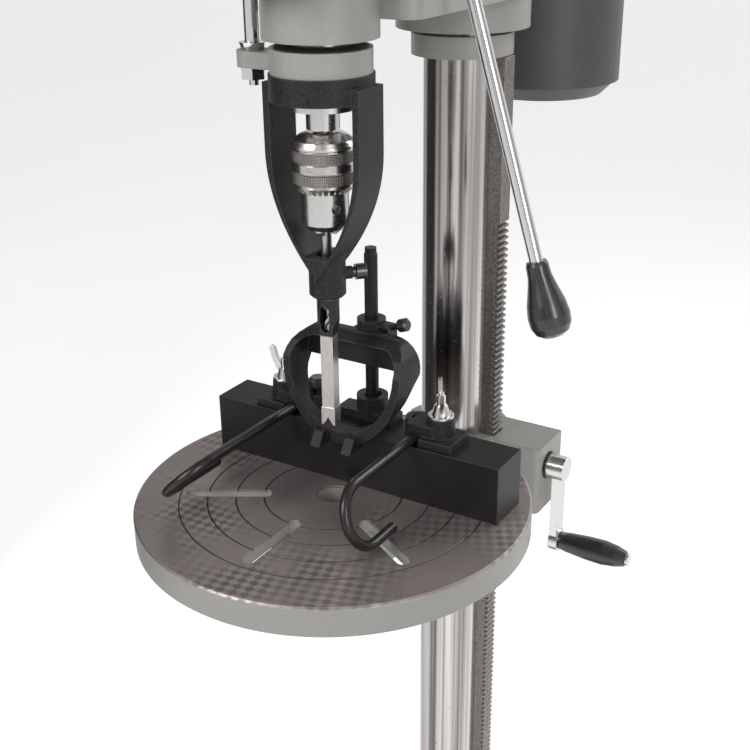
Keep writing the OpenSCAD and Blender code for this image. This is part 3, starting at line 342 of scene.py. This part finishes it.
def columnSteel():
    s = Shade("ground column")
    look = columnLook
    lines = s.noise(1.0, 2.0, 0.5, s.stretch(look["linesStretch"]))
    reflectionBands = s.noise(1.0, 2.0, 0.5, s.stretch(look["reflectionStretch"]))
    fineReflectionLines = s.noise(1.0, 3.0, 0.6, s.stretch(look["fineReflectionStretch"]))
    spots = s.noise(look["spotScale"], 4.0, 0.65)
    haze = s.noise(look["hazeScale"], 3.0)
    # painted reflection: the long upright streaks and fine upright lines paint the light and dark bands that
    # the surroundings throw on the ground steel
    tone = ((reflectionBands - 0.5) * look["reflectionContrast"] + (fineReflectionLines - 0.5) + 0.55).clamp()
    color = s.mix(tone, look["dark"], look["light"])
    color = s.mix((spots - 0.62).clamp() * 3.0, color, look["spots"])
    rough = (look["rough"] + (lines - 0.5) * 0.14 + (haze - 0.5) * 0.1 + (spots - 0.6).clamp()).clamp()
    normal = s.bump(lines, 0.035, 0.0003)
    return s.finish(color=color, rough=rough, metal=1.0, normal=normal)


sleeveLook = {
    "bands": ((0.2975, 0.3058), (0.3062, 0.3142), (0.2882, 0.2972)), "plainBand": (0.2982, 0.3052),
    "ridges": 58.0, "pitch": 2600.0, "dark": (0.46, 0.44, 0.425), "light": (0.64, 0.62, 0.6),
    "groove": (0.05, 0.042, 0.038), "ridge": (0.36, 0.335, 0.315), "stain": (0.17, 0.14, 0.12),
    "linesStretch": (300.0, 300.0, 3000.0), "stainScale": 160.0, "rough": 0.24,
}


def knurledSleeve():
    s = Shade("chuck sleeve")
    look = sleeveLook
    dx, dy = s.x - spindle.x, s.y - spindle.y
    angle = s.math("ARCTAN2", dy, dx)
    h = s.z - top  # height above the table
    lines = s.noise(1.0, 3.0, 0.6, s.stretch(look["linesStretch"]))
    bands = None
    for low, high in look["bands"]:
        band = h.band(low, high, 0.0006)
        bands = band if bands is None else bands.high(band)
    turned = h.band(*look["plainBand"], 0.0005)
    knurl = (bands - turned).clamp()
    around, along = angle * look["ridges"], h * look["pitch"]
    lean = s.math("SINE", around + along) * s.math("SINE", around - along)
    cells = (lean * 0.8 + 0.5).clamp()
    stain = s.noise(look["stainScale"], 4.0, 0.6)
    color = s.mix(lines, look["dark"], look["light"])
    color = s.mix(knurl, color, s.mix(cells, look["groove"], look["ridge"]))
    color = s.mix((stain - 0.52).clamp() * 1.4, color, look["stain"])
    edge, soft = s.edges(0.0006)
    rough = (look["rough"] + knurl * 0.2 + (lines - 0.5) * 0.2).clamp()
    normal = s.bump(knurl * cells + lines * 0.05, 0.6, 0.0006, soft)
    return s.finish(color=color, rough=rough, metal=1.0, normal=normal)


chiselLook = {
    "collar": (0.1545, 0.1885), "shankFrom": 0.19, "dark": (0.36, 0.34, 0.33), "light": (0.66, 0.635, 0.62),
    "fleck": (0.22, 0.18, 0.16), "paintDark": (0.006, 0.006, 0.006), "paintLight": (0.03, 0.028, 0.027),
    "edge": (0.72, 0.7, 0.68), "scratchStretch": (1500.0, 1500.0, 90.0), "fleckScale": 520.0, "rough": 0.36,
}


def chiselSteel():
    s = Shade("chisel")
    look = chiselLook
    h = s.z - top  # height above the table
    scratch = s.noise(1.0, 4.0, 0.65, s.stretch(look["scratchStretch"]))
    fleck = s.noise(look["fleckScale"], 3.0, 0.6)
    painted = h.band(*look["collar"], 0.001)
    shank = h.step(look["shankFrom"], 0.001)
    steel = s.mix(scratch, look["dark"], look["light"])
    steel = s.mix((fleck - 0.56).clamp() * 2.0, steel, look["fleck"])
    color = s.mix(painted, steel, s.mix(fleck, look["paintDark"], look["paintLight"]))
    edge, soft = s.edges(0.0006)
    color = s.mix(edge * (0.6 - painted * 0.35), color, look["edge"])
    rough = (look["rough"] + (scratch - 0.5) * 0.3 + painted * 0.06 - shank * 0.08).clamp()
    normal = s.bump(scratch, 0.12, 0.0003, soft)
    return s.finish(color=color, rough=rough, metal=(1 - painted * 0.55), normal=normal)


rackLook = {
    "dark": (0.05, 0.043, 0.039), "light": (0.3, 0.275, 0.255), "edge": (0.5, 0.475, 0.45),
    "grainScale": 560.0, "rough": 0.42, "metal": 0.8,
}


def rackIron():
    s = Shade("rack")
    look = rackLook
    grain = s.noise(look["grainScale"], 4.0, 0.65)
    edge, soft = s.edges(0.0006)
    color = s.mix(((grain - 0.5) * 2.2 + 0.5).clamp(), look["dark"], look["light"])
    color = s.mix(edge * 0.7, color, look["edge"])
    rough = (look["rough"] + (grain - 0.5) * 0.4).clamp()
    return s.finish(color=color, rough=rough, metal=look["metal"], normal=s.bump(grain, 0.3, 0.0004, soft))


black = paintedCast("sand cast black", castBlack)
grey = paintedCast("grey enamel", greyEnamel)
dark = paintedCast("dark enamel", darkEnamel)
blackPaint = paintedCast("smooth black paint", smoothBlack)
ground = bareSteel("ground steel", groundSteel)
tool = bareSteel("tool steel", toolSteel)
oiled = bareSteel("dark oiled steel", darkSteel)
plated = bareSteel("plated rod", platedRod)
bush = bareSteel("bronze", bronze)
knob = moulded("black plastic", blackPlastic)
rubber = moulded("belt rubber", blackRubber)
green = moulded("green plastic", greenPlastic)
red = moulded("red plastic", redPlastic)
dress = {
    "table": tableTop(), "column_tube": columnSteel(), "chuck_sleeve": knurledSleeve(),
    "chisel": chiselSteel(), "rack": rackIron(), "belts": rubber, "start_button": green, "stop_button": red,
    "head_bearings": bush,
}
groups = [
    (black, ["yoke", "post_base", "hold_down_foot", "hold_in_brackets"]),
    (grey, ["table_bracket", "table_arm", "rack_collar", "clamp_collar", "head_casting", "belt_cover",
            "guard_base"]),
    (dark, ["base_casting", "column_flange", "motor", "motor_mount", "spring_case", "switch_box"]),
    (tool, ["auger_bit", "chuck_jaw_1", "chuck_jaw_2", "chuck_jaw_3"]),
    (blackPaint, ["fence", "hold_down_post"]),
    (oiled, ["hook_left", "hook_right", "head_screws"]),
    (plated, ["feed_handles", "depth_rod"]),
    (knob, ["handle_knobs", "crank_grip", "hook_knob", "foot_screw", "yoke_screw"]),
]
for finish, names in groups:
    for name in names:
        dress[name] = finish
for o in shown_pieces():
    if o.type == "MESH":
        o.data.materials.clear()
        o.data.materials.append(dress.get(o.name, ground))  # what isn't listed is ground steel
print("materials done", len(dress))

# pale floor and plain surroundings
floorLook = {"size": 60.0, "dark": (0.86, 0.86, 0.86), "light": (0.9, 0.9, 0.9), "rough": 0.7,
             "glowPower": 0.35}
bpy.ops.object.select_all(action="DESELECT")
bpy.ops.mesh.primitive_plane_add(size=floorLook["size"], location=(0, 0, 0))
floor = bpy.context.object
floor.name = "floor"
floorShade = Shade("pale floor")
floorColor = floorShade.mix(floorShade.noise(3.0, 2.0), floorLook["dark"], floorLook["light"])
floor.data.materials.append(floorShade.finish(
    color=floorColor, rough=floorLook["rough"], glow=(1.0, 1.0, 1.0), glowPower=floorLook["glowPower"]))

# dark card on the left, outside the main view, for the castings and the column to reflect
cardLook = {"place": (-1.3, -0.28, 0.95), "size": (1.9, 1.2, 1.0), "dark": (0.008, 0.008, 0.008),
            "light": (0.014, 0.014, 0.014), "rough": 0.9}
bpy.ops.mesh.primitive_plane_add(size=1.0, location=cardLook["place"], rotation=(0, math.pi / 2, 0))
card = bpy.context.object
card.name = "card"
card.scale = cardLook["size"]
cardShade = Shade("dark card")
cardColor = cardShade.mix(cardShade.noise(4.0, 2.0), cardLook["dark"], cardLook["light"])
card.data.materials.append(cardShade.finish(color=cardColor, rough=cardLook["rough"]))

# studio walls: soft white panels by compass direction, as first degree, last degree and level
worldLook = {
    "back": (-42, 62, 0.95), "backSoft": 16, "panelSoft": 8, "dim": 0.28, "strength": 0.9,
    "panels": ((84, 104, 0.9), (118, 142, 0.9), (-176, -150, 0.8), (-138, -120, 0.6), (156, 170, 1.0)),
}
world = bpy.data.worlds.new("studio")
scene.world = world
world.use_nodes = True
sky = Graph(world.node_tree)
way = sky.node("ShaderNodeSeparateXYZ", values={"Vector": sky.node("ShaderNodeTexCoord")["Generated"]})
compass = sky.math("ARCTAN2", way["X"], way["Y"]) * (180 / math.pi)
start, end, bright = worldLook["back"]
level = compass.band(start, end, worldLook["backSoft"]) * bright
for start, end, bright in worldLook["panels"]:
    level = level.high(compass.band(start, end, worldLook["panelSoft"]) * bright)
level = level.high(worldLook["dim"])
background = sky.tree.nodes["Background"]
sky.link(level, background.inputs["Color"])
background.inputs["Strength"].default_value = worldLook["strength"]


def softLight(name, look, aim):
    lamp = bpy.data.lights.new(name, "AREA")
    lamp.shape = "RECTANGLE"
    lamp.size, lamp.size_y = look["size"]
    lamp.energy = look["power"]
    holder = bpy.data.objects.new(name, lamp)
    scene.collection.objects.link(holder)
    holder.location = look["place"]
    holder.rotation_mode = "QUATERNION"
    holder.rotation_quaternion = (Vector(look["place"]) - Vector(aim)).to_track_quat("Z", "Y")


lightLook = {
    "key": {"place": (-0.9, -2.1, 2.5), "size": (0.9, 1.2), "power": 42},
    "fill": {"place": (2.2, -1.3, 1.9), "size": (0.5, 1.6), "power": 26},
    "back": {"place": (1.2, 2.2, 2.6), "size": (1.2, 1.2), "power": 30},
}
for name, look in lightLook.items():
    softLight(name, look, (spindle.x, spindle.y, top))
print("floor and lights set")

# camera: the three-quarter view, with its slight roll
cameraLook = {
    "azimuth": 31.968, "elevation": 23.334, "roll": -0.738, "lens": 56.67, "shift": (0.0034, -0.0107),
    "offset": (0.5245, -0.7714, 0.5258), "clip": (0.02, 60),  # offset: from x zero, the spindle and the top
}
azimuth, elevation, roll = [math.radians(cameraLook[key]) for key in ("azimuth", "elevation", "roll")]
outward = math.cos(elevation)
back = Vector((math.sin(azimuth) * outward, -math.cos(azimuth) * outward, math.sin(elevation)))
right = Vector((math.cos(azimuth), math.sin(azimuth), 0))
up = back.cross(right)
tiltedRight = right * math.cos(roll) + up * math.sin(roll)
tiltedUp = up * math.cos(roll) - right * math.sin(roll)
camera = bpy.data.objects.new("camera", bpy.data.cameras.new("camera"))
scene.collection.objects.link(camera)
camera.data.sensor_width = 36
camera.data.lens = cameraLook["lens"]
camera.data.shift_x, camera.data.shift_y = cameraLook["shift"]
camera.data.clip_start, camera.data.clip_end = cameraLook["clip"]
offsetX, offsetY, offsetZ = cameraLook["offset"]
eye = Matrix.Translation((offsetX, spindle.y + offsetY, top + offsetZ))
camera.matrix_world = eye @ Matrix((tiltedRight, tiltedUp, back)).transposed().to_4x4()
scene.camera = camera
scene.view_settings.view_transform = "Standard"
print("camera set")
